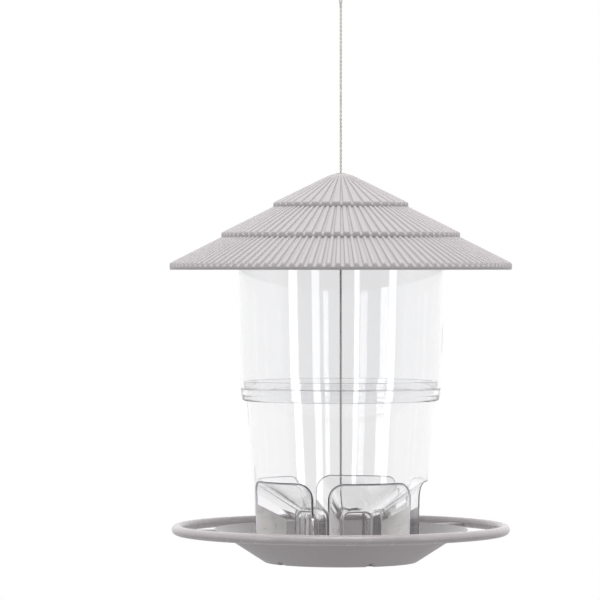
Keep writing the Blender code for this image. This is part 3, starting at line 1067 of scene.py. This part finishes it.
def build_world():
    """White to the eye and through clear plastic; as a light, dimmer in front and below.

    A path that leaves after one or more reflections meets the light's own strength, which gives the
    clear walls their grey tone. A very long path, as in a thick corner of the plastic, ends in white.
    """
    world = bpy.data.worlds.new("studio")
    world.use_nodes = True
    tree = world.node_tree
    tree.nodes.clear()
    output = tree.nodes.new("ShaderNodeOutputWorld")
    seen = tree.nodes.new("ShaderNodeBackground")
    lighting = tree.nodes.new("ShaderNodeBackground")
    for background in (seen, lighting):
        background.inputs["Color"].default_value = (1.0, 1.0, 1.0, 1.0)
    coordinates = tree.nodes.new("ShaderNodeTexCoord")
    parts = tree.nodes.new("ShaderNodeSeparateXYZ")
    tree.links.new(coordinates.outputs["Generated"], parts.inputs["Vector"])
    front = remap(tree, parts.outputs["Y"], -0.78, -0.15, 0.20, 1.25, "SMOOTHSTEP")
    above = remap(tree, parts.outputs["Z"], -0.6, 0.3, 0.35, 1.06, "SMOOTHSTEP")
    tree.links.new(calculated(tree, "MULTIPLY", front, above), lighting.inputs["Strength"])
    path = tree.nodes.new("ShaderNodeLightPath")
    straight = calculated(tree, "LESS_THAN", path.outputs["Glossy Depth"], 0.5)
    clear = calculated(tree, "MULTIPLY", path.outputs["Is Transmission Ray"], straight)
    deep = calculated(tree, "GREATER_THAN", path.outputs["Ray Depth"], LONG_PATH)
    white = calculated(tree, "MAXIMUM", deep, clear)
    through = calculated(tree, "MAXIMUM", path.outputs["Is Camera Ray"], white)
    mixed = tree.nodes.new("ShaderNodeMixShader")
    tree.links.new(through, mixed.inputs["Fac"])
    tree.links.new(lighting.outputs["Background"], mixed.inputs[1])
    tree.links.new(seen.outputs["Background"], mixed.inputs[2])
    tree.links.new(mixed.outputs["Shader"], output.inputs["Surface"])
    bpy.context.scene.world = world


def area_light(name, angle, distance, height, width, tall, power, aim_height):
    """A soft box at this angle from the front, aimed at the axis."""
    data = bpy.data.lights.new(name, "AREA")
    data.shape = "RECTANGLE"
    data.size = width
    data.size_y = tall
    data.energy = power
    light = bpy.data.objects.new(name, data)
    spot = outward(angle) * distance
    light.location = (spot.x, spot.y, BASE + height)
    target = Vector((0.0, 0.0, BASE + aim_height))
    light.rotation_euler = (target - light.location).to_track_quat("-Z", "Y").to_euler()
    light.visible_camera = False
    bpy.context.scene.collection.objects.link(light)
    return light


def build_lights():
    """Upright strips that show only as reflections, and soft boxes above and in front."""
    strips = ((-54.0, 0.36, 6.5), (-28.0, 0.30, 4.2), (17.0, 0.20, 3.6), (58.0, 0.30, 5.6))
    for k, (angle, width, power) in enumerate(strips):
        strip = area_light(
            f"strip_{k + 1}", angle, distance=STRIP_DISTANCE, height=STRIP_HEIGHT,
            width=width, tall=STRIP_TALL, power=power, aim_height=STRIP_HEIGHT,
        )
        strip.visible_diffuse = False
    area_light(
        "top_soft", 0.0, distance=0.3, height=2.3, width=2.0, tall=2.0, power=12.0, aim_height=0.1
    )
    area_light(
        "key", 0.0, distance=1.3, height=2.0, width=1.2, tall=0.8, power=25.0, aim_height=0.05
    )
    fill = area_light(
        "fill", 0.0, distance=2.6, height=0.5, width=1.6, tall=1.2, power=9.0, aim_height=0.05
    )
    fill.visible_glossy = False
    fill.visible_transmission = False


def set_view():
    """Plain colour handling, and enough bounces for many layers of clear plastic."""
    scene = bpy.context.scene
    scene.view_settings.view_transform = "Standard"
    scene.view_settings.look = "None"
    scene.cycles.max_bounces = 28
    scene.cycles.transmission_bounces = 24
    scene.cycles.glossy_bounces = 12
    scene.cycles.transparent_max_bounces = 16


build_camera()
build_hanger()
build_roof()
build_bush()
build_upper_hopper()
build_lower_hopper()
build_dish()
build_hoop()
build_stop()
build_floor()
build_world()
build_lights()
set_view()
